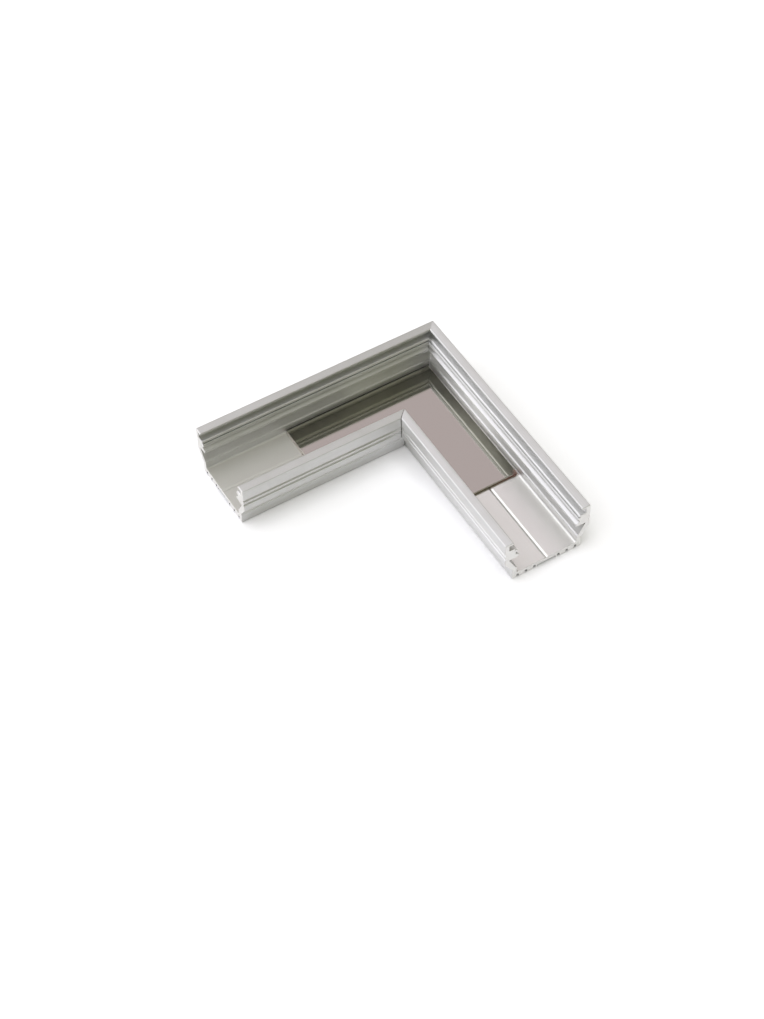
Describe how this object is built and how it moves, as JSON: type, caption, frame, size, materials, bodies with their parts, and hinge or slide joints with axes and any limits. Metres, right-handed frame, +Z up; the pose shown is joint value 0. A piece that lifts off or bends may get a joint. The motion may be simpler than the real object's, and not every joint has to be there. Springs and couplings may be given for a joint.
{
  "type": "led profile corner connector",
  "caption": "Right-angle corner for a surface-mounted LED channel: mitred aluminium profiles with ribbed, undercut walls, bridged by a flat L-shaped steel plate on the channel floor.",
  "frame": {"origin": "on the plane that the profiles' feet stand on, where the centre lines of the two legs cross", "axes": "+Z up, out of the open channel; the shorter, left leg runs towards -X and the longer, right leg towards -Y, so the mitre's outer corner points to +X +Y"},
  "size_m": [0.0655, 0.068, 0.0134],
  "materials": {
    "anodised_aluminium": "satin anodised, with fine extrusion lines along the length and pale sawn ends",
    "polished_steel": "mirror-polished stainless sheet"
  },
  "bodies": {
    "root": {"left_profile": "anodised_aluminium", "right_profile": "anodised_aluminium", "corner_plate": "polished_steel"}
  },
  "joints": []
}
